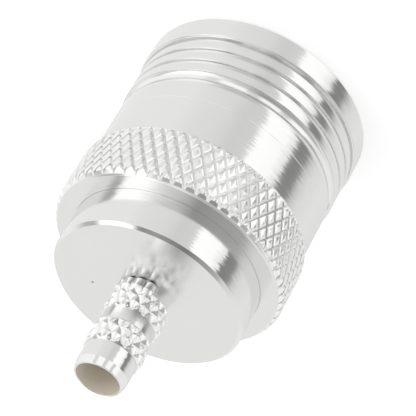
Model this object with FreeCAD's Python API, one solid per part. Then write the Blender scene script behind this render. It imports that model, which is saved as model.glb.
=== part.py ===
import FreeCAD, Part
import os
from math import cos, pi, sin

# A male N connector for a crimped coaxial cable, standing on the rim of its
# coupling nut with the cable end up. The origin is the centre of that rim,
# and +Z runs along the axis towards the cable. All sizes are in millimetres.

# Coupling nut, outside, from the rim towards the cable
nut_length = 18.8
rim_chamfer = 0.2
front_land_d = 20.4
front_land_length = 2.2
rib_d = 20.0
rib_count = 3
rib_pitch = 1.38
rib_step = 0.28
neck_groove_d = 19.0
neck_groove_width = 0.6
neck_groove_slope = 0.35
lip_length = 0.9
lip_drop = 0.23
band_d = 19.7

# Diamond knurl of the nut
nut_knurl_d = 20.7
nut_knurl_depth = 0.4
nut_knurl_length = 5.3
nut_knurl_teeth = 60
nut_knurl_rows = 6
nut_rear_land = 0.15

# Coupling nut, inside, from the rim towards the cable
entry_d = 16.5
entry_length = 1.2
entry_chamfer = 0.3
thread_d = 15.875
thread_length = 7.8
thread_relief_d = 16.6
thread_relief_length = 1.3
counterbore_depth = 1.7

# Body: the journal inside the nut, the barrel behind it and the crimp stem
body_front_from_relief = 0.6
journal_d = 15.5
journal_chamfer = 0.3
barrel_d = 16.8
barrel_proud = 3.45
barrel_chamfer = 0.4
stem_length = 8.95
neck_d = 4.2
neck_length = 0.95
stem_d = 4.5
stem_end_d = 4.14
stem_taper_length = 0.7
stem_bore_d = 3.8
pin_room_d = 4.6
pin_room_beyond_pin = 0.3

# Diamond knurl of the crimp stem, in two bands
stem_knurl_d = 5.1
stem_knurl_depth = 0.24
stem_knurl_teeth = 14
stem_knurl_rows = 3
stem_knurl_length = 2.25
stem_knurl_spacing = 1.15
stem_knurl_run_out = 0.7
stem_knurl_run_out_step = 0.02

# How thick a knurl's band is below its roots, and how much of that is sunk in the metal that carries it
knurl_band_wall = 0.3
knurl_band_sunk = 0.03

# Split ring that holds the nut on the body, half in a groove of each
ring_thickness = 1.0
ring_section = 0.9
ring_split = 2.5
ring_from_barrel = 1.3
ring_outer_room = 0.15
ring_inner_room = 0.6

# Outer contact, a sleeve pressed into the body
sleeve_d = 8.0
sleeve_bore_d = 7.0
sleeve_recess = 1.8
sleeve_seat_length = 3.5
sleeve_chamfer = 0.15

# Insulator, its flange trapped between the sleeve and the body
insulator_recess = 6.3
insulator_flange_length = 3.0
insulator_chamfer = 0.2

# Centre pin
pin_tip_d = 1.65
pin_point_d = 0.7
pin_point_length = 0.8
pin_recess = 0.2
pin_tip_length = 5.0
pin_shoulder_slope = 0.35
pin_d = 3.04
pin_detent_d = 2.7
pin_detent_length = 1.0
pin_detent_in_flange = 1.0
pin_behind_insulator = 2.9
solder_pot_d = 1.3
solder_pot_depth = 3.5

# Gasket on the front of the body
gasket_d = 12.8
gasket_thickness = 1.8

# Clearances
running_gap = 0.05
shoulder_gap = 0.1
barrel_gap = 0.06
ring_play = 0.05
seat_gap = 0.02
gasket_gap = 0.1

# Stations along the axis that several pieces share
neck_groove_start_z = front_land_length + rib_count * rib_pitch
neck_groove_end_z = neck_groove_start_z + neck_groove_width
band_start_z = neck_groove_end_z + lip_length
nut_knurl_end_z = nut_length - nut_rear_land
nut_knurl_start_z = nut_knurl_end_z - nut_knurl_length
thread_end_z = entry_length + thread_length
relief_end_z = thread_end_z + thread_relief_length
body_front_z = relief_end_z + body_front_from_relief
sleeve_rear_z = body_front_z + sleeve_seat_length
insulator_front_z = sleeve_recess + insulator_recess
insulator_rear_z = sleeve_rear_z + insulator_flange_length
insulator_seat_z = insulator_rear_z + seat_gap
pin_end_z = insulator_rear_z + pin_behind_insulator
pin_room_end_z = pin_end_z + pin_room_beyond_pin
nut_shoulder_z = nut_length - counterbore_depth
barrel_front_z = nut_shoulder_z + shoulder_gap
ring_rear_z = barrel_front_z - ring_from_barrel
ring_front_z = ring_rear_z - ring_thickness
barrel_rear_z = nut_length + barrel_proud
rear_face_z = barrel_rear_z + barrel_chamfer
stem_end_z = rear_face_z + stem_length
stem_knurl_1_z = rear_face_z + neck_length
stem_knurl_1_end_z = stem_knurl_1_z + stem_knurl_length
stem_knurl_2_z = stem_knurl_1_end_z + stem_knurl_spacing
stem_knurl_2_end_z = stem_knurl_2_z + stem_knurl_length

# Radii that several pieces share
nut_knurl_root_r = nut_knurl_d / 2 - nut_knurl_depth
stem_knurl_root_r = stem_knurl_d / 2 - stem_knurl_depth
journal_r = journal_d / 2
nut_bore_r = journal_r + running_gap
barrel_r = barrel_d / 2
counterbore_r = barrel_r + barrel_gap
ring_outer_r = (journal_r + nut_bore_r + ring_section) / 2
ring_inner_r = ring_outer_r - ring_section
sleeve_r = sleeve_d / 2
sleeve_bore_r = sleeve_bore_d / 2
body_bore_r = sleeve_r + seat_gap
pin_r = pin_d / 2
pin_detent_r = pin_detent_d / 2

ORIGIN = FreeCAD.Vector(0, 0, 0)
AXIS = FreeCAD.Vector(0, 0, 1)


def turned(outline):
    """The solid swept about the axis by a closed outline of (radius, height) points."""
    corners = [FreeCAD.Vector(radius, 0, height) for radius, height in outline]
    wire = Part.makePolygon(corners + corners[:1])
    return Part.Face(wire).revolve(ORIGIN, AXIS, 360)


def knurl(crest_r, depth, start_z, length, teeth, rows, foot=None):
    """A hollow band of crossed diamond pyramids, with a sloped half row at each end.

    Where a foot is given, as a radius and a height, the first flanks run out to it."""
    root_r = crest_r - depth
    foot_r, foot_z = foot or (root_r, start_z)
    half_tooth = pi / teeth
    row_height = length / rows

    def point(radius, half_steps, height):
        angle = half_steps * half_tooth
        return FreeCAD.Vector(radius * cos(angle), radius * sin(angle), height)

    def end_cap(radius, first_step, height):
        rim = [point(radius, first_step + 2 * tooth, height) for tooth in range(teeth)]
        return Part.Face(Part.makePolygon(rim + rim[:1]))

    faces = [end_cap(foot_r, 1, foot_z), end_cap(root_r, rows + 1, start_z + length)]
    for row in range(rows + 1):
        height = start_z + row * row_height
        for tooth in range(teeth):
            middle = 2 * tooth + row % 2
            left = point(root_r, middle - 1, height)
            right = point(root_r, middle + 1, height)
            below = point(root_r, middle, height - row_height)
            above = point(root_r, middle, height + row_height)
            tip = point(crest_r, middle, height)
            if row == 1:
                below = point(foot_r, middle, foot_z)
            base = [left, below, right, above]
            if row == 0:
                left = point(foot_r, middle - 1, foot_z)
                right = point(foot_r, middle + 1, foot_z)
                tip = point(crest_r - depth / 2, middle, height + depth / 2)
                base = [left, right, above]
            if row == rows:
                tip = point(crest_r - depth / 2, middle, height - depth / 2)
                base = [left, below, right]
            for start, end in zip(base, base[1:] + base[:1]):
                faces.append(Part.Face(Part.makePolygon([start, end, tip, start])))
    skin = Part.Compound(faces)
    skin.sewShape()
    band = Part.Solid(skin.Shells[0])
    core_r = root_r - knurl_band_wall
    core = Part.makeCylinder(core_r, start_z + length - foot_z, FreeCAD.Vector(0, 0, foot_z))
    return band.cut(core)


def knurl_bed_r(root_r):
    """The radius of the plain metal under a knurl's band."""
    return root_r - knurl_band_wall + knurl_band_sunk


def coupling_nut():
    """The nut, with ribs, a neck groove, a knurl and the bore for thread and body."""
    rib_r = rib_d / 2
    neck_r = neck_groove_d / 2
    band_r = band_d / 2
    bed_r = knurl_bed_r(nut_knurl_root_r)
    entry_r = entry_d / 2
    relief_r = thread_relief_d / 2
    thread_r = thread_d / 2
    ring_room_r = ring_outer_r + ring_outer_room
    outside = [
        (entry_r + entry_chamfer, 0),
        (front_land_d / 2 - rim_chamfer, 0),
        (front_land_d / 2, rim_chamfer),
        (front_land_d / 2, front_land_length),
    ]
    for place in range(rib_count):
        rib_start_z = front_land_length + place * rib_pitch
        outside += [(rib_r - rib_step, rib_start_z), (rib_r, rib_start_z + rib_pitch)]
    outside += [
        (neck_r, neck_groove_start_z + neck_groove_slope),
        (neck_r, neck_groove_end_z),
        (band_r - lip_drop, neck_groove_end_z),
        (band_r, band_start_z),
        (band_r, nut_knurl_start_z),
        (bed_r, nut_knurl_start_z),
        (bed_r, nut_knurl_end_z),
        (nut_knurl_root_r, nut_knurl_end_z),
        (nut_knurl_root_r - nut_rear_land, nut_length),
    ]
    inside = [
        (counterbore_r, nut_length),
        (counterbore_r, nut_shoulder_z),
        (nut_bore_r, nut_shoulder_z),
        (nut_bore_r, ring_rear_z + ring_play),
        (ring_room_r, ring_rear_z + ring_play),
        (ring_room_r, ring_front_z - ring_play),
        (nut_bore_r, ring_front_z - ring_play),
        (nut_bore_r, relief_end_z),
        (relief_r, relief_end_z),
        (relief_r, thread_end_z),
        (thread_r, thread_end_z),
        (thread_r, entry_length),
        (entry_r, entry_length),
        (entry_r, entry_chamfer),
    ]
    band = knurl(nut_knurl_d / 2, nut_knurl_depth, nut_knurl_start_z, nut_knurl_length,
                 nut_knurl_teeth, nut_knurl_rows)
    return turned(outside + inside).fuse(band)


def body():
    """The turned body: journal, barrel and knurled crimp stem, bored for pin and cable."""
    stem_r = stem_d / 2
    stem_bore_r = stem_bore_d / 2
    neck_r = neck_d / 2
    pin_room_r = pin_room_d / 2
    groove_r = ring_inner_r - ring_inner_room
    bed_r = knurl_bed_r(stem_knurl_root_r)
    run_out_z = stem_knurl_1_z - stem_knurl_run_out
    outline = [
        (body_bore_r, body_front_z),
        (journal_r - journal_chamfer, body_front_z),
        (journal_r, body_front_z + journal_chamfer),
        (journal_r, ring_front_z - ring_play),
        (groove_r, ring_front_z - ring_play),
        (groove_r, ring_rear_z + ring_play),
        (journal_r, ring_rear_z + ring_play),
        (journal_r, barrel_front_z),
        (barrel_r, barrel_front_z),
        (barrel_r, barrel_rear_z),
        (barrel_r - barrel_chamfer, rear_face_z),
        (neck_r, rear_face_z),
        (neck_r, run_out_z),
        (bed_r, run_out_z),
        (bed_r, stem_knurl_1_end_z),
        (stem_r, stem_knurl_1_end_z),
        (stem_r, stem_knurl_2_z),
        (bed_r, stem_knurl_2_z),
        (bed_r, stem_knurl_2_end_z),
        (stem_r, stem_knurl_2_end_z),
        (stem_r, stem_end_z - stem_taper_length),
        (stem_end_d / 2, stem_end_z),
        (stem_bore_r, stem_end_z),
        (stem_bore_r, pin_room_end_z),
        (pin_room_r, pin_room_end_z),
        (pin_room_r, insulator_seat_z),
        (body_bore_r, insulator_seat_z),
    ]
    shape = turned(outline)
    run_out_foot = (neck_r + stem_knurl_run_out_step, run_out_z)
    for start_z, foot in ((stem_knurl_1_z, run_out_foot), (stem_knurl_2_z, None)):
        shape = shape.fuse(knurl(stem_knurl_d / 2, stem_knurl_depth, start_z, stem_knurl_length,
                                 stem_knurl_teeth, stem_knurl_rows, foot))
    return shape


def retaining_ring():
    """The split ring between the grooves of the nut and the body."""
    ring = turned([
        (ring_inner_r, ring_front_z),
        (ring_outer_r, ring_front_z),
        (ring_outer_r, ring_rear_z),
        (ring_inner_r, ring_rear_z),
    ])
    corner = FreeCAD.Vector(-ring_split / 2, 0, ring_front_z - ring_thickness)
    split = Part.makeBox(ring_split, 2 * ring_outer_r, 3 * ring_thickness, corner)
    return ring.cut(split)


def outer_contact():
    """The plain sleeve that meets the jack's outer contact."""
    return turned([
        (sleeve_bore_r, sleeve_recess + sleeve_chamfer),
        (sleeve_bore_r + sleeve_chamfer, sleeve_recess),
        (sleeve_r - sleeve_chamfer, sleeve_recess),
        (sleeve_r, sleeve_recess + sleeve_chamfer),
        (sleeve_r, sleeve_rear_z),
        (sleeve_bore_r, sleeve_rear_z),
    ])


def pin_detent():
    """The heights where the pin's detent starts and ends."""
    start_z = sleeve_rear_z + pin_detent_in_flange
    return start_z, start_z + pin_detent_length


def insulator():
    """The insulator, with a flange behind the sleeve and a lip in the pin's detent."""
    detent_start_z, detent_end_z = pin_detent()
    bore_r = pin_r + seat_gap
    lip_r = pin_detent_r + seat_gap
    front_r = sleeve_bore_r - seat_gap
    return turned([
        (bore_r, insulator_front_z),
        (front_r - insulator_chamfer, insulator_front_z),
        (front_r, insulator_front_z + insulator_chamfer),
        (front_r, sleeve_rear_z + seat_gap),
        (sleeve_r, sleeve_rear_z + seat_gap),
        (sleeve_r, insulator_rear_z),
        (bore_r, insulator_rear_z),
        (bore_r, detent_end_z - seat_gap),
        (lip_r, detent_end_z - seat_gap),
        (lip_r, detent_start_z + seat_gap),
        (bore_r, detent_start_z + seat_gap),
    ])


def centre_pin():
    """The centre contact: pointed tip, shoulder, detent and solder pot."""
    detent_start_z, detent_end_z = pin_detent()
    tip_z = sleeve_recess + pin_recess
    shoulder_z = tip_z + pin_tip_length
    pot_floor_z = pin_end_z - solder_pot_depth
    return turned([
        (0, tip_z),
        (pin_point_d / 2, tip_z),
        (pin_tip_d / 2, tip_z + pin_point_length),
        (pin_tip_d / 2, shoulder_z),
        (pin_r, shoulder_z + pin_shoulder_slope),
        (pin_r, detent_start_z),
        (pin_detent_r, detent_start_z),
        (pin_detent_r, detent_end_z),
        (pin_r, detent_end_z),
        (pin_r, pin_end_z),
        (solder_pot_d / 2, pin_end_z),
        (solder_pot_d / 2, pot_floor_z),
        (0, pot_floor_z),
    ])


def gasket():
    """The flat-cut ring around the sleeve that the jack's rim squeezes."""
    return turned([
        (sleeve_r + gasket_gap, body_front_z - gasket_thickness),
        (gasket_d / 2, body_front_z - gasket_thickness),
        (gasket_d / 2, body_front_z),
        (sleeve_r + gasket_gap, body_front_z),
    ])


os.makedirs("parts", exist_ok=True)
for make in (coupling_nut, body, retaining_ring, outer_contact, insulator, centre_pin, gasket):
    shape = make()
    shape.exportStep("parts/" + make.__name__ + ".step")
    print(make.__name__, shape.ShapeType, len(shape.Solids), shape.isValid(), round(shape.Volume, 2))
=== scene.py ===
from math import asin, atan2, cos, pi, radians, sin, tan

import bpy
import numpy as np
from mathutils import Matrix, Vector


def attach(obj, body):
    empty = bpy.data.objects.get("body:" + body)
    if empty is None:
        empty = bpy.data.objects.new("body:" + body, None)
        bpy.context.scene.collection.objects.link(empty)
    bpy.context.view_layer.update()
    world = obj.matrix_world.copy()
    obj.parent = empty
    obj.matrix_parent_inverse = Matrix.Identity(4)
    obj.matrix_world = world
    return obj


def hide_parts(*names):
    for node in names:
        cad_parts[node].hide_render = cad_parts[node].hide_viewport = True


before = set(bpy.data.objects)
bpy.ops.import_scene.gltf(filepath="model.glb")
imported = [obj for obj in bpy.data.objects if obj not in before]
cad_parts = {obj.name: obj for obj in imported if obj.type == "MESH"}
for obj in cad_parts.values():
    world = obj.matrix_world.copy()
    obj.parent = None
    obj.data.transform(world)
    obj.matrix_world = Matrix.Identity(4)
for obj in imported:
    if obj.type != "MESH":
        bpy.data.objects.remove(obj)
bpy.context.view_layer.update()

# A plated coaxial plug that stands on the rim of its coupling nut. Sizes are in
# millimetres until a mesh is made, and angles are in degrees unless a name says otherwise.
MM = 0.001

# Coupling nut, outside
NUT_LENGTH = 18.8
RIM_CHAMFER = 0.2
FRONT_LAND_R = 10.2
FRONT_LAND_LENGTH = 2.2
RIB_R = 10.0
RIB_COUNT = 3
RIB_PITCH = 1.38
RIB_STEP = 0.2
RIB_CURVE_LENGTH = 0.7
NECK_SHOULDER_R = 9.72
NECK_GROOVE_R = 9.5
NECK_GROOVE_WIDTH = 0.6
LIP_LENGTH = 0.9
LIP_DROP = 0.23
BAND_R = 9.85
NUT_KNURL_R = 10.35
NUT_KNURL_DEPTH = 0.4
NUT_KNURL_START_Z = 13.35
NUT_KNURL_LENGTH = 5.3
NUT_KNURL_TEETH = 60
NUT_KNURL_ROWS = 6
SCRIBE_FROM_KNURL = 3.9
SCRIBE_WIDTH = 0.07
SCRIBE_DEPTH = 0.012
NUT_REAR_LAND = 0.15

# Coupling nut, inside
ENTRY_R = 8.25
ENTRY_LENGTH = 1.2
ENTRY_CHAMFER = 0.3
THREAD_R = 7.9375
THREAD_MINOR_R = 7.425
THREAD_LENGTH = 7.8
THREAD_PITCH = 25.4 / 24
THREAD_ROOT_HALF = THREAD_PITCH * 7 / 16
THREAD_CREST_HALF = THREAD_PITCH / 8
THREAD_SUNK = 0.02
THREAD_FADE = pi / 2
THREAD_STEPS_A_TURN = 120
RELIEF_R = 8.3
RELIEF_LENGTH = 1.3
NUT_BORE_R = 7.8
RING_ROOM_R = 8.375
RING_ROOM_START_Z = 14.85
RING_ROOM_END_Z = 15.95
COUNTERBORE_R = 8.41
COUNTERBORE_DEPTH = 1.7

# Body
BODY_FRONT_Z = 10.9
BODY_BORE_R = 4.02
JOURNAL_R = 7.75
JOURNAL_CHAMFER = 0.3
RING_GROOVE_R = 6.725
BARREL_R = 8.4
BARREL_FRONT_Z = 17.2
BARREL_REAR_Z = 22.38
BARREL_CHAMFER = 0.27
NECK_R = 2.1
NECK_LENGTH = 0.95
STEM_R = 2.25
STEM_END_R = 2.07
STEM_END_Z = 31.6
STEM_TAPER_LENGTH = 0.7
STEM_BORE_R = 1.9
STEM_KNURL_R = 2.55
STEM_KNURL_DEPTH = 0.24
STEM_KNURL_LENGTH = 2.25
STEM_KNURL_TEETH = 14
STEM_KNURL_ROWS = 3
STEM_KNURL_SPACING = 1.15
STEM_KNURL_RUN_OUT = 0.9
PIN_ROOM_R = 2.3
PIN_ROOM_END_Z = 20.6
INSULATOR_SEAT_Z = 17.42

# The photograph's view, with its lengths in millimetres
CAMERA_SENSOR = 36.0
CAMERA_LENS = 175.47
CAMERA_AIM = (-0.83, 0, 11.94)
CAMERA_DISTANCE = 169.96
CAMERA_ELEVATION = 35.93
CAMERA_ROLL = 209.78
CAMERA_CLIP_START = 5.0

# The studio's light around the compass, as (bearing, strength): bearing 0 is behind the camera
# and +90 is towards +X. The part's walls reflect the low light, the rear slopes of its knurls
# the light at the horizon, and its chamfers the high light.
WORLD_STRENGTH = 2.0
FLOOR_COLOR = (0.9, 0.9, 0.9, 1)
FLOOR_REACH = 2000.0
FLOOR_LIGHT = 0.6
FLOOR_LIFT = 0.45
DEEP_LIGHT = ((-180, 0.9), (-90, 0.85), (-75, 0.8), (-58, 0.85), (-55, 1.05), (-19, 1.15), (-10, 0.7),
              (0, 0.58), (50, 0.58), (70, 0.85), (90, 1.1), (130, 1.1), (180, 0.9))
LOW_LIGHT = ((-180, 0.84), (-163, 0.77), (-143, 0.82), (-118, 0.87), (-92, 0.81), (-82, 0.66), (-74, 0.28),
             (-58, 0.24), (-55, 1.0), (-50, 1.0), (-45, 1.15), (-19, 1.2), (-14, 0.74), (3, 0.71),
             (21, 0.81), (47, 0.85), (62, 0.91), (164, 0.91), (180, 0.84))
HORIZON_LIGHT = ((-180, 0.9), (-90, 0.95), (-80, 0.9), (-72, 0.9), (-62, 0.95), (-54, 1.12), (-36, 1.12),
                 (-33, 0.7), (-24, 0.7), (-21, 1.1), (-2, 1.1), (1, 0.75), (12, 0.75), (15, 1.12), (38, 1.12),
                 (41, 0.8), (52, 0.8), (55, 1.06), (125, 1.02), (150, 0.86), (180, 0.86))
MIDDLE_LIGHT = ((-180, 0.87), (-95, 0.87), (-80, 0.75), (-68, 0.5), (-40, 0.45), (-24, 0.42), (0, 0.36),
                (20, 0.7), (40, 0.9), (66, 1.4), (92, 1.4), (99, 0.5), (108, 0.5), (120, 0.9), (180, 0.87))
HIGH_LIGHT = ((-180, 0.87), (-95, 0.87), (-80, 0.75), (-68, 0.43), (-47, 0.37), (-29, 0.28), (-10, 0.2),
              (11, 0.31), (30, 0.36), (54, 0.26), (61, 0.8), (68, 1.4), (92, 1.4), (99, 0.5), (108, 0.5),
              (120, 0.9), (180, 0.87))
TOP_LIGHT = ((-180, 0.72), (-90, 0.65), (0, 0.5), (30, 0.95), (90, 1.1), (130, 0.8), (180, 0.72))

# Each band of light gives way to the next between two elevations
LIGHT_BANDS = ((-60, -45, LOW_LIGHT), (-26, -16, HORIZON_LIGHT), (5, 22, MIDDLE_LIGHT), (40, 50, HIGH_LIGHT),
               (58, 68, TOP_LIGHT))

# The world straight below gives way to the floor's light between these two elevations
PIT_FADE = (-70, -88)

# Turned edges are broken by this radius, in this many steps
EDGE_RADIUS = 0.04
EDGE_STEPS = 2
SHARP_EDGE = 0.005
CURVE_STEPS = 6

# Material numbers of the body's faces. What lies this near the rear face's height is part of it.
BODY_WALL, BODY_BORE, BODY_FACE, BODY_KNURL, BODY_MOUTH = range(5)
SAME_HEIGHT = 0.001


def groove_rise(place):
    """How far a place is from the nearest odd number: 0 in a groove, 1 on a crest."""
    return 1 - np.abs(np.mod(place + 1, 2) - 1)


class Knurl:
    """A band of crossed diamond pyramids, with blunt crests and sloped ends.

    Each half tooth has so many steps around and along. Flank and crown say how steeply a
    pyramid rises from its grooves and how much its crest still slopes, and a rough knurl's
    grooves wander. A foot is the radius and height at which the first row runs out."""

    # The run-out's lobes: their rings, their height as a share of the knurl's depth and its
    # loss along them, the share of their length that rounds their ends, the bearing of the
    # side that has them, and the cosines between which they grow around it
    LOBE_STEPS = 10
    LOBE_SHARE = 1.9
    LOBE_SLOPE = 0.75
    LOBE_END = 0.2
    LOBE_SIDE = -35
    LOBE_REACH = (0.3, 0.55)

    # The waves in which a rough knurl's grooves wander, as (waves around, turn for each row
    # along), and how far the second set of grooves wanders against the first
    WANDER = ((3, 1.9), (5, -2.7))
    SECOND_WANDER = 0.7

    def __init__(self, crest_r, depth, start_z, length, teeth, rows, steps, flank, crown,
                 rough=0, foot=None):
        self.crest_r = crest_r
        self.depth = depth
        self.flank = flank
        self.crown = crown
        self.root_r = crest_r - depth
        self.start_z = start_z
        self.end_z = start_z + length
        self.row_height = length / rows
        self.rows = rows
        self.steps = steps
        self.segments = 2 * teeth * steps
        self.rough = rough
        self.foot = foot

    def rises(self, around, along):
        """How far places are from both sets of grooves, which wander a little in a rough knurl."""
        angle = around * (2 * pi * self.steps / self.segments)
        wander = self.rough * sum(np.sin(waves * angle + turn * along) for waves, turn in self.WANDER)
        return (groove_rise(around + along + wander),
                groove_rise(around - along + self.SECOND_WANDER * wander))

    def lobes(self, height):
        """The radii of the rounded lobes in which the first row runs out to the foot.

        The knurling wheel ran further on one side, so only that side has them."""
        foot_r, foot_z = self.foot
        around = np.arange(self.segments) / self.steps
        facing = np.cos(np.arange(self.segments) * (2 * pi / self.segments) - radians(self.LOBE_SIDE))
        near, far = self.LOBE_REACH
        strength = np.clip((facing - near) / (far - near), 0, 1)
        bulge = strength * np.sqrt(1 - (1 - groove_rise(around + 1)) ** 2)
        share = (height - foot_z) / (self.start_z - foot_z)
        root_r = foot_r + (self.root_r - foot_r) * min(share, 1) ** 2
        full = min(1, share / self.LOBE_END) ** 0.5
        fade = min(1, max(0, (self.start_z + self.row_height - height) / self.row_height))
        return root_r + self.depth * (self.LOBE_SHARE - self.LOBE_SLOPE * share) * full * fade * bulge

    def rings(self):
        """The knurl's rings of points from its foot up, as their radii at every segment and height."""
        around = np.arange(self.segments) / self.steps
        if self.foot:
            for share in np.linspace(0, 1, self.LOBE_STEPS, endpoint=False) ** 2:
                height = self.foot[1] + share * (self.start_z - self.foot[1])
                yield self.lobes(height), height
        for step in range(self.rows * self.steps + 1):
            along = step / self.steps
            height = self.start_z + along * self.row_height
            rise = np.minimum(*self.rises(around, along))
            blunt = np.minimum(rise * self.flank, 1 - (1 - rise) * self.crown)
            end_room = min(height - self.start_z, self.end_z - height) / self.depth
            radii = self.root_r + self.depth * np.minimum(blunt, end_room)
            if self.foot and height < self.start_z + self.row_height:
                radii = np.maximum(radii, self.lobes(height))
            yield radii, height

    def leans_left(self, ring):
        """For each cell above a ring, whether the nearer groove runs up to the left."""
        around = (np.arange(self.segments) + 0.5) / self.steps
        left, right = self.rises(around, (ring + 0.5) / self.steps)
        return left < right


class Ring:
    """One ring of a turned mesh: radii, height, and the outline's outward normal there."""

    def __init__(self, radii, height, normal=None, knurl=None, knurl_ring=0):
        self.radii = radii
        self.height = height
        self.normal = normal
        self.knurl = knurl
        self.knurl_ring = knurl_ring


def curve(start_r, end_r, start_z, length):
    """The rings of an arc that meets a wall at its start and runs along the axis at its end."""
    rise = abs(end_r - start_r)
    side = 1 if end_r > start_r else -1
    bend_r = (rise ** 2 + length ** 2) / (2 * rise)
    widest = asin(length / bend_r)
    rings = []
    for step in range(CURVE_STEPS, -1, -1):
        angle = widest * step / CURVE_STEPS
        radius = end_r - side * bend_r * (1 - cos(angle))
        height = start_z + length - bend_r * sin(angle)
        rings.append(Ring(radius, height, (cos(angle), -side * sin(angle))))
    return rings


def rounded(outline):
    """The rings of a closed outline of (radius, height) corners, with its edges broken.

    The outline runs with the metal on its left. A Knurl among the corners stands for
    its own band, and a Ring for a point of a curve."""
    rings = []
    corners = [Vector((c.radii, c.height) if isinstance(c, Ring) else c)
               for c in outline if not isinstance(c, Knurl)]
    place = 0
    for entry in outline:
        if isinstance(entry, Knurl):
            for number, (radii, height) in enumerate(entry.rings()):
                rings.append(Ring(radii, height, None, entry, number))
            continue
        if isinstance(entry, Ring):
            rings.append(entry)
            place += 1
            continue
        here = corners[place]
        before = here - corners[place - 1]
        place += 1
        after = corners[place % len(corners)] - here
        shorter = min(before.length, after.length)
        before.normalize()
        after.normalize()
        turn = atan2(before.x * after.y - before.y * after.x, before.dot(after))
        if abs(turn) < 1e-6:
            rings.append(Ring(here.x, here.y, (before.y, -before.x)))
            continue
        half = abs(tan(turn / 2))
        reach = min(EDGE_RADIUS * half, 0.4 * shorter)
        start = here - before * reach
        inward = Vector((-before.y, before.x)) * (1 if turn > 0 else -1)
        centre = start + inward * (reach / half)
        for step in range(EDGE_STEPS + 1):
            bend = Matrix.Rotation(turn * step / EDGE_STEPS, 2)
            point = centre + bend @ (start - centre)
            tangent = bend @ before
            rings.append(Ring(point.x, point.y, (tangent.y, -tangent.x)))
    return rings


def turned(name, outline, segments, paint):
    """A mesh swept about the axis. paint(radius, height, knurled) gives a face's material number."""
    rings = rounded(outline)
    angle = np.arange(segments) * (2 * pi / segments)
    across = np.stack([np.cos(angle), np.sin(angle)], axis=1)
    points = np.empty((len(rings), segments, 3))
    for number, ring in enumerate(rings):
        points[number, :, :2] = across * np.reshape(ring.radii, (-1, 1))
        points[number, :, 2] = ring.height
    here = np.arange(segments)
    there = np.roll(here, -1)
    faces = []
    normals = []
    slots = []
    for number, ring in enumerate(rings):
        above = (number + 1) % len(rings)
        upper = rings[above]
        a, b = number * segments + here, number * segments + there
        d, c = above * segments + here, above * segments + there
        smooth = ring.normal is not None and upper.normal is not None
        knurled = ring.knurl is not None and upper.knurl is ring.knurl
        slot = paint((np.mean(ring.radii) + np.mean(upper.radii)) / 2,
                     (ring.height + upper.height) / 2, knurled)
        if smooth:
            quads = np.stack([a, b, c, d], axis=1)
            low, high = np.array(ring.normal), np.array(upper.normal)
            corner = np.empty((segments, 4, 3))
            for spot, (index, tilt) in enumerate([(here, low), (there, low), (there, high), (here, high)]):
                corner[:, spot, :2] = across[index] * tilt[0]
                corner[:, spot, 2] = tilt[1]
            faces.extend(quads.tolist())
            normals.append(corner.reshape(-1, 3))
            slots.extend([slot] * segments)
            continue
        left = np.ones(segments, bool)
        if knurled:
            left = ring.knurl.leans_left(ring.knurl_ring)
        first = np.where(left[:, None], np.stack([a, b, d], axis=1), np.stack([a, b, c], axis=1))
        second = np.where(left[:, None], np.stack([b, c, d], axis=1), np.stack([a, c, d], axis=1))
        both = np.concatenate([first, second])
        corner = points.reshape(-1, 3)[both]
        flat = np.cross(corner[:, 1] - corner[:, 0], corner[:, 2] - corner[:, 0])
        flat /= np.maximum(np.linalg.norm(flat, axis=1, keepdims=True), 1e-12)
        faces.extend(both.tolist())
        normals.append(np.repeat(flat, 3, axis=0))
        slots.extend([slot] * len(both))
    mesh = bpy.data.meshes.new(name)
    mesh.from_pydata((points.reshape(-1, 3) * MM).tolist(), [], faces)
    mesh.polygons.foreach_set("material_index", slots)
    mesh.polygons.foreach_set("use_smooth", [True] * len(faces))
    mesh.normals_split_custom_set(np.concatenate(normals).tolist())
    piece = bpy.data.objects.new(name, mesh)
    bpy.context.scene.collection.objects.link(piece)
    return piece


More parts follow.
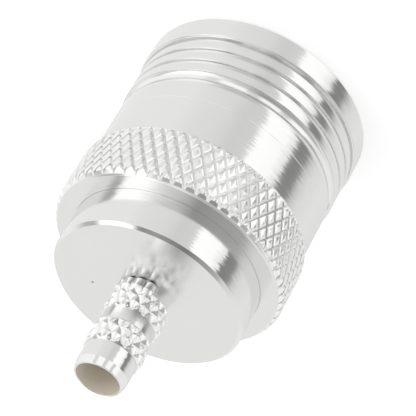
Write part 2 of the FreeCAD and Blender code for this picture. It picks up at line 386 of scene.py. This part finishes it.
def nut_piece():
    """The coupling nut, outside from the rim up and inside back down."""
    neck_start_z = FRONT_LAND_LENGTH + RIB_COUNT * RIB_PITCH
    neck_end_z = neck_start_z + NECK_GROOVE_WIDTH
    thread_end_z = ENTRY_LENGTH + THREAD_LENGTH
    relief_end_z = thread_end_z + RELIEF_LENGTH
    shoulder_z = NUT_LENGTH - COUNTERBORE_DEPTH
    knurl = Knurl(NUT_KNURL_R, NUT_KNURL_DEPTH, NUT_KNURL_START_Z, NUT_KNURL_LENGTH,
                  NUT_KNURL_TEETH, NUT_KNURL_ROWS, steps=4, flank=3.0, crown=0.28)
    scribe_z = knurl.start_z - SCRIBE_FROM_KNURL
    outline = [
        (ENTRY_R + ENTRY_CHAMFER, 0),
        (FRONT_LAND_R - RIM_CHAMFER, 0),
        (FRONT_LAND_R, RIM_CHAMFER),
        (FRONT_LAND_R, FRONT_LAND_LENGTH),
    ]
    for rib in range(RIB_COUNT):
        start_z = FRONT_LAND_LENGTH + rib * RIB_PITCH
        outline += curve(RIB_R - RIB_STEP, RIB_R, start_z, RIB_CURVE_LENGTH)
        outline.append((RIB_R, start_z + RIB_PITCH))
    outline += curve(NECK_SHOULDER_R, NECK_GROOVE_R, neck_start_z, NECK_GROOVE_WIDTH)
    outline += curve(BAND_R - LIP_DROP, BAND_R, neck_end_z, LIP_LENGTH)
    outline += [
        (BAND_R, scribe_z - SCRIBE_WIDTH / 2),
        (BAND_R - SCRIBE_DEPTH, scribe_z),
        (BAND_R, scribe_z + SCRIBE_WIDTH / 2),
        (BAND_R, knurl.start_z),
        knurl,
        (knurl.root_r, knurl.end_z + EDGE_RADIUS),
        (knurl.root_r - NUT_REAR_LAND, NUT_LENGTH),
        Ring(COUNTERBORE_R + SHARP_EDGE, NUT_LENGTH, (0, 1)),
        Ring(COUNTERBORE_R, NUT_LENGTH - SHARP_EDGE, (-1, 0)),
        (COUNTERBORE_R, shoulder_z),
        (NUT_BORE_R, shoulder_z),
        (NUT_BORE_R, RING_ROOM_END_Z),
        (RING_ROOM_R, RING_ROOM_END_Z),
        (RING_ROOM_R, RING_ROOM_START_Z),
        (NUT_BORE_R, RING_ROOM_START_Z),
        (NUT_BORE_R, relief_end_z),
        (RELIEF_R, relief_end_z),
        (RELIEF_R, thread_end_z),
        (THREAD_R, thread_end_z),
        (THREAD_R, ENTRY_LENGTH),
        (ENTRY_R, ENTRY_LENGTH),
        (ENTRY_R, ENTRY_CHAMFER),
    ]
    # The knurled faces take the second material, the plating with painted sheen.
    return turned("nut_skin", outline, knurl.segments, lambda radius, height, knurled: int(knurled))


def stem_knurl(start_z, foot=None):
    """One of the stem's two rough knurled bands."""
    return Knurl(STEM_KNURL_R, STEM_KNURL_DEPTH, start_z, STEM_KNURL_LENGTH, STEM_KNURL_TEETH,
                 STEM_KNURL_ROWS, steps=8, flank=1.2, crown=0.5, rough=0.14, foot=foot)


def body_piece():
    """The turned body, outside from its front face up to the stem's mouth and back down."""
    rear_face_z = BARREL_REAR_Z + BARREL_CHAMFER
    first_start_z = rear_face_z + NECK_LENGTH
    first = stem_knurl(first_start_z, foot=(NECK_R, first_start_z - STEM_KNURL_RUN_OUT))
    second = stem_knurl(first.end_z + STEM_KNURL_SPACING)
    outline = [
        (BODY_BORE_R, BODY_FRONT_Z),
        (JOURNAL_R - JOURNAL_CHAMFER, BODY_FRONT_Z),
        (JOURNAL_R, BODY_FRONT_Z + JOURNAL_CHAMFER),
        (JOURNAL_R, RING_ROOM_START_Z),
        (RING_GROOVE_R, RING_ROOM_START_Z),
        (RING_GROOVE_R, RING_ROOM_END_Z),
        (JOURNAL_R, RING_ROOM_END_Z),
        (JOURNAL_R, BARREL_FRONT_Z),
        (BARREL_R, BARREL_FRONT_Z),
        (BARREL_R, BARREL_REAR_Z),
        (BARREL_R - BARREL_CHAMFER, rear_face_z),
        (NECK_R, rear_face_z),
        (NECK_R, first.foot[1] - EDGE_RADIUS),
        first,
        (STEM_R, first.end_z),
        (STEM_R, second.start_z),
        second,
        (STEM_R, second.end_z),
        (STEM_R, STEM_END_Z - STEM_TAPER_LENGTH),
        (STEM_END_R, STEM_END_Z),
        (STEM_BORE_R, STEM_END_Z),
        (STEM_BORE_R, PIN_ROOM_END_Z),
        (PIN_ROOM_R, PIN_ROOM_END_Z),
        (PIN_ROOM_R, INSULATOR_SEAT_Z),
        (BODY_BORE_R, INSULATOR_SEAT_Z),
    ]

    def paint(radius, height, knurled):
        # Knurled faces above the run-out get the plating with painted sheen; the run-out keeps the plain wall
        # plating.
        if knurled:
            return BODY_KNURL if height > first_start_z else BODY_WALL
        if radius < STEM_BORE_R + EDGE_RADIUS:
            return BODY_BORE
        if height > STEM_END_Z - EDGE_RADIUS:
            return BODY_MOUTH
        return BODY_FACE if abs(height - rear_face_z) < SAME_HEIGHT else BODY_WALL

    return turned("body_skin", outline, first.segments, paint)


def thread_piece():
    """The crests of the nut's inner thread, a right-handed ridge that fades out at its ends."""
    sunk_r = THREAD_R + THREAD_SUNK
    start_z = ENTRY_LENGTH + THREAD_ROOT_HALF
    travel = THREAD_LENGTH - 2 * THREAD_ROOT_HALF
    sweep = travel / THREAD_PITCH * 2 * pi
    count = int(sweep / (2 * pi) * THREAD_STEPS_A_TURN)
    points = []
    faces = []
    for step in range(count + 1):
        angle = sweep * step / count
        share = min(1, angle / THREAD_FADE, (sweep - angle) / THREAD_FADE)
        crest_r = THREAD_R - (THREAD_R - THREAD_MINOR_R) * sin(share * pi / 2)
        height = start_z + THREAD_PITCH * angle / (2 * pi)
        for radius, rise in ((sunk_r, -THREAD_ROOT_HALF), (crest_r, -THREAD_CREST_HALF),
                             (crest_r, THREAD_CREST_HALF), (sunk_r, THREAD_ROOT_HALF)):
            points.append((radius * cos(angle) * MM, radius * sin(angle) * MM, (height + rise) * MM))
        if step:
            base = 4 * step
            faces += [(base + side - 4, base + (side + 1) % 4 - 4, base + (side + 1) % 4, base + side)
                      for side in range(4)]
    faces.append((3, 2, 1, 0))
    faces.append(tuple(4 * count + side for side in range(4)))
    mesh = bpy.data.meshes.new("nut_thread")
    mesh.from_pydata(points, [], faces)
    piece = bpy.data.objects.new("nut_thread", mesh)
    bpy.context.scene.collection.objects.link(piece)
    return piece


class Nodes:
    """Short names for building a node tree."""

    def __init__(self, tree):
        self.tree = tree
        tree.nodes.clear()

    def add(self, kind, inputs=None, **settings):
        node = self.tree.nodes.new(kind)
        for name, value in settings.items():
            setattr(node, name, value)
        for name, value in (inputs or {}).items():
            if isinstance(value, bpy.types.NodeSocket):
                self.tree.links.new(value, node.inputs[name])
            else:
                node.inputs[name].default_value = value
        return node

    def math(self, operation, first, second=0.0, third=0.0):
        node = self.add("ShaderNodeMath", {0: first, 1: second, 2: third}, operation=operation)
        return node.outputs[0]

    def ramp(self, place, stops):
        """A grey that changes along its stops, which are (position, value)."""
        node = self.add("ShaderNodeValToRGB", {"Fac": place})
        elements = node.color_ramp.elements
        while len(elements) < len(stops):
            elements.new(0.5)
        for element, (position, value) in zip(elements, stops):
            element.position = position
            element.color = (value, value, value, 1)
        return node.outputs["Color"]

    def noise(self, vector, scale, detail=2.0):
        node = self.add("ShaderNodeTexNoise", {"Vector": vector, "Scale": scale, "Detail": detail})
        return node.outputs["Fac"]

    def blend(self, share, first, second):
        """A colour between a constant one and a constant or a socket."""
        node = self.add("ShaderNodeMix", {"Factor": share, 6: (*first, 1), 7: second}, data_type="RGBA")
        return node.outputs[2]


# Tool marks, in cells per metre around and along. A step in radius counts so many times as
# much as one in height, so that flat faces are marked too.
FINE_MARKS = (900, 16000)
BROAD_MARKS = (150, 1500)
HAIR_MARKS = (600, 6000)
RADIUS_SHARE = 1.37

# How far roughness spreads around its mean, and how dark the darker patches are
ROUGHNESS_SPREAD = (0.8, 1.3)
METAL_SHADE = 0.97
PLASTIC_SHADE = 0.92

# A speck's grain in cells per metre, and the shares of its radius between which it fades
SPECK_GRAIN = 9000
SPECK_EDGE = (0.9, 1.6)


def turning_vector(nodes, around, along):
    """Coordinates stretched along the tool marks."""
    place = nodes.add("ShaderNodeTexCoord").outputs["Object"]
    split = nodes.add("ShaderNodeSeparateXYZ", {0: place})
    flat = nodes.add("ShaderNodeCombineXYZ", {"X": split.outputs["X"], "Y": split.outputs["Y"]})
    radius = nodes.add("ShaderNodeVectorMath", {0: flat.outputs[0]}, operation="LENGTH").outputs["Value"]
    feed = nodes.math("MULTIPLY_ADD", radius, RADIUS_SHARE, split.outputs["Z"])
    return nodes.add("ShaderNodeCombineXYZ", {
        "X": nodes.math("MULTIPLY", split.outputs["X"], around),
        "Y": nodes.math("MULTIPLY", split.outputs["Y"], around),
        "Z": nodes.math("MULTIPLY", feed, along),
    }).outputs[0]


def speck(nodes, color, place, radius, patch):
    """A small coloured patch at a place on a surface, with an uneven edge."""
    spot = nodes.add("ShaderNodeTexCoord").outputs["Object"]
    away = nodes.add("ShaderNodeVectorMath", {0: spot, 1: place}, operation="DISTANCE").outputs["Value"]
    uneven = nodes.math("MULTIPLY_ADD", nodes.noise(spot, SPECK_GRAIN), radius, away)
    near, far = SPECK_EDGE
    share = nodes.add("ShaderNodeMapRange", {"Value": uneven, "From Min": radius * near,
                                             "From Max": radius * far}, interpolation_type="SMOOTHSTEP")
    return nodes.blend(share.outputs[0], patch, color)


def metal(name, color, roughness, mark_depth, anisotropy, streaks=0.0, patch=None):
    """Turned and plated metal, with fine tool marks around the axis.

    Streaks tilt the surface to its sides, by about this much, which frays its highlights.
    A patch is the place, radius and colour of a speck."""
    material = bpy.data.materials.new(name)
    material.use_nodes = True
    nodes = Nodes(material.node_tree)
    fine = nodes.noise(turning_vector(nodes, *FINE_MARKS), 1.0, 3.0)
    broad = nodes.noise(turning_vector(nodes, *BROAD_MARKS), 1.0)
    least, most = ROUGHNESS_SPREAD
    rough = nodes.add("ShaderNodeMapRange", {"Value": broad, "From Min": 0.3, "From Max": 0.7,
                                             "To Min": roughness * least, "To Max": roughness * most})
    bump = nodes.add("ShaderNodeBump", {"Height": fine, "Strength": 1.0, "Distance": mark_depth})
    tone = nodes.blend(broad, [part * METAL_SHADE for part in color], (*color, 1))
    if patch:
        tone = speck(nodes, tone, *patch)
    tangent = nodes.add("ShaderNodeTangent", direction_type="RADIAL", axis="Z")
    hair = nodes.noise(turning_vector(nodes, *HAIR_MARKS), 1.0)
    swing = nodes.math("MULTIPLY_ADD", hair, streaks, -streaks / 2)
    aside = nodes.add("ShaderNodeVectorMath", {0: tangent.outputs[0], "Scale": swing}, operation="SCALE")
    tilted = nodes.add("ShaderNodeVectorMath", {0: bump.outputs[0], 1: aside.outputs[0]}, operation="ADD")
    normal = nodes.add("ShaderNodeVectorMath", {0: tilted.outputs[0]}, operation="NORMALIZE")
    shader = nodes.add("ShaderNodeBsdfPrincipled", {
        "Base Color": tone, "Metallic": 1.0, "Roughness": rough.outputs[0],
        "Normal": normal.outputs[0], "Anisotropic": anisotropy, "Anisotropic Rotation": 0.25,
        "Tangent": tangent.outputs[0],
    })
    nodes.add("ShaderNodeOutputMaterial", {"Surface": shader.outputs[0]})
    return material


def plastic(name, color, roughness, grain, grain_depth):
    """Cut plastic or rubber with a fine grain."""
    material = bpy.data.materials.new(name)
    material.use_nodes = True
    nodes = Nodes(material.node_tree)
    place = nodes.add("ShaderNodeTexCoord").outputs["Object"]
    speckle = nodes.noise(place, grain, 4.0)
    bump = nodes.add("ShaderNodeBump", {"Height": speckle, "Strength": 0.5, "Distance": grain_depth})
    tone = nodes.blend(speckle, [part * PLASTIC_SHADE for part in color], (*color, 1))
    shader = nodes.add("ShaderNodeBsdfPrincipled", {
        "Base Color": tone, "Roughness": roughness, "Normal": bump.outputs[0]})
    nodes.add("ShaderNodeOutputMaterial", {"Surface": shader.outputs[0]})
    return material


def dress(node, material):
    """A CAD node that keeps its own mesh gets this material."""
    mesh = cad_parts[node].data
    mesh.materials.clear()
    mesh.materials.append(material)


def compass_ramp(nodes, share, stops):
    """Brightness around the compass: stops are (bearing, strength), 0 towards the camera's side."""
    return nodes.ramp(share, [((bearing + 180) / 360, strength / WORLD_STRENGTH)
                              for bearing, strength in stops])


def fade(nodes, height, start, end, before, after):
    """One light that gives way to another between two elevations. The height is the view's z."""
    share = nodes.add("ShaderNodeMapRange", {
        "Value": height, "From Min": sin(radians(start)), "From Max": sin(radians(end))},
        interpolation_type="SMOOTHSTEP")
    return nodes.add("ShaderNodeMix", {"Factor": share.outputs[0], 6: before, 7: after},
                     data_type="RGBA").outputs[2]


def studio():
    """A pale floor, and soft light that changes with the compass direction and the height."""
    world = bpy.data.worlds.new("studio")
    bpy.context.scene.world = world
    world.use_nodes = True
    nodes = Nodes(world.node_tree)
    way = nodes.add("ShaderNodeSeparateXYZ", {0: nodes.add("ShaderNodeTexCoord").outputs["Generated"]})
    back = nodes.math("MULTIPLY", way.outputs["Y"], -1.0)
    bearing = nodes.math("ARCTAN2", way.outputs["X"], back)
    share = nodes.math("MULTIPLY_ADD", bearing, 1 / (2 * pi), 0.5)
    glow = compass_ramp(nodes, share, DEEP_LIGHT)
    for start, end, stops in LIGHT_BANDS:
        glow = fade(nodes, way.outputs["Z"], start, end, glow, compass_ramp(nodes, share, stops))
    pit = FLOOR_LIGHT / WORLD_STRENGTH
    glow = fade(nodes, way.outputs["Z"], *PIT_FADE, glow, (pit, pit, pit, 1))
    path = nodes.add("ShaderNodeLightPath")
    light = nodes.add("ShaderNodeBackground", {"Color": glow, "Strength": WORLD_STRENGTH})
    white = nodes.add("ShaderNodeBackground", {"Color": (1, 1, 1, 1), "Strength": 1.0})
    both = nodes.add("ShaderNodeMixShader", {0: path.outputs["Is Camera Ray"], 1: light.outputs[0],
                                             2: white.outputs[0]})
    nodes.add("ShaderNodeOutputWorld", {"Surface": both.outputs[0]})

    material = bpy.data.materials.new("pale_floor")
    material.use_nodes = True
    nodes = Nodes(material.node_tree)
    path = nodes.add("ShaderNodeLightPath")
    matt = nodes.add("ShaderNodeBsdfDiffuse", {"Color": FLOOR_COLOR})
    lift = nodes.add("ShaderNodeEmission", {"Color": (FLOOR_LIFT, FLOOR_LIFT, FLOOR_LIFT, 1),
                                            "Strength": path.outputs["Is Camera Ray"]})
    both = nodes.add("ShaderNodeAddShader", {0: matt.outputs[0], 1: lift.outputs[0]})
    nodes.add("ShaderNodeOutputMaterial", {"Surface": both.outputs[0]})
    mesh = bpy.data.meshes.new("floor")
    reach = FLOOR_REACH * MM
    mesh.from_pydata([(-reach, -reach, 0), (reach, -reach, 0), (reach, reach, 0), (-reach, reach, 0)],
                     [], [(0, 1, 2, 3)])
    mesh.materials.append(material)
    floor = bpy.data.objects.new("floor", mesh)
    floor.visible_glossy = False
    bpy.context.scene.collection.objects.link(floor)


def camera():
    """The photograph's view: from above the cable end, rolled."""
    data = bpy.data.cameras.new("camera")
    data.sensor_width = CAMERA_SENSOR
    data.lens = CAMERA_LENS
    data.clip_start = CAMERA_CLIP_START * MM
    eye = bpy.data.objects.new("camera", data)
    elevation = radians(CAMERA_ELEVATION)
    roll = radians(CAMERA_ROLL)
    back = Vector((0, -cos(elevation), sin(elevation)))
    right = Vector((1, 0, 0))
    up = back.cross(right)
    turned_right = right * cos(roll) + up * sin(roll)
    turned_up = back.cross(turned_right)
    eye.matrix_world = Matrix((turned_right, turned_up, back)).transposed().to_4x4()
    eye.matrix_world.translation = (Vector(CAMERA_AIM) + back * CAMERA_DISTANCE) * MM
    bpy.context.scene.collection.objects.link(eye)
    bpy.context.scene.camera = eye


# A brown speck on the rear face, and a brown-gold patch on the far side of the stem's mouth
SPECK = (Vector((4.34, 2.12, 22.65)) * MM, 0.12 * MM, (0.16, 0.08, 0.04))
MOUTH_BROWN_PATCH = (Vector((0, 1.98, STEM_END_Z)) * MM, 1.1 * MM, (0.4, 0.22, 0.08))

PLATING = (0.87, 0.87, 0.86)
# The knurls get a lighter copy of the plating: painted sheen that makes them read brighter than the same
# plating elsewhere.
PAINTED_SHEEN_PLATING = (0.97, 0.97, 0.96)
nut_plating = metal("nut_plating", PLATING, roughness=0.14, mark_depth=0.0012 * MM, anisotropy=0.5,
                    streaks=0.13)
body_plating = metal("body_plating", PLATING, roughness=0.12, mark_depth=0.001 * MM, anisotropy=0.5,
                     streaks=0.13)
knurl_painted_sheen = metal("knurl_painted_sheen", PAINTED_SHEEN_PLATING, roughness=0.18, mark_depth=0.001 * MM, anisotropy=0.0)
face_plating = metal("face_plating", PLATING, roughness=0.2, mark_depth=0.001 * MM, anisotropy=0.3,
                     patch=SPECK)
mouth_plating = metal("mouth_plating", PLATING, roughness=0.2, mark_depth=0.001 * MM, anisotropy=0.3,
                      patch=MOUTH_BROWN_PATCH)
bore_brass = plastic("bore_brass", (0.935, 0.875, 0.77), roughness=0.5, grain=3000, grain_depth=0.01 * MM)
contact_plating = metal("contact_plating", (0.84, 0.84, 0.82), roughness=0.25, mark_depth=0.002 * MM,
                        anisotropy=0.4)
pin_gold = metal("pin_gold", (0.85, 0.62, 0.26), roughness=0.2, mark_depth=0.001 * MM, anisotropy=0.4)
spring_bronze = metal("spring_bronze", (0.72, 0.5, 0.28), roughness=0.3, mark_depth=0.002 * MM,
                      anisotropy=0.3)
white_insulator = plastic("white_insulator", (0.93, 0.92, 0.9), roughness=0.4, grain=4000,
                          grain_depth=0.01 * MM)
gasket_rubber = plastic("gasket_rubber", (0.62, 0.2, 0.12), roughness=0.6, grain=6000,
                        grain_depth=0.01 * MM)

nut = nut_piece()
for material in (nut_plating, knurl_painted_sheen):
    nut.data.materials.append(material)
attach(nut, "nut")
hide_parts("coupling_nut")

thread = thread_piece()
thread.data.materials.append(nut_plating)
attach(thread, "nut")

plug = body_piece()
for material in (body_plating, bore_brass, face_plating, knurl_painted_sheen, mouth_plating):
    plug.data.materials.append(material)
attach(plug, "plug")
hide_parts("body")

dress("outer_contact", contact_plating)
dress("centre_pin", pin_gold)
dress("retaining_ring", spring_bronze)
dress("insulator", white_insulator)
dress("gasket", gasket_rubber)

studio()
camera()
bpy.context.scene.view_settings.view_transform = "Standard"
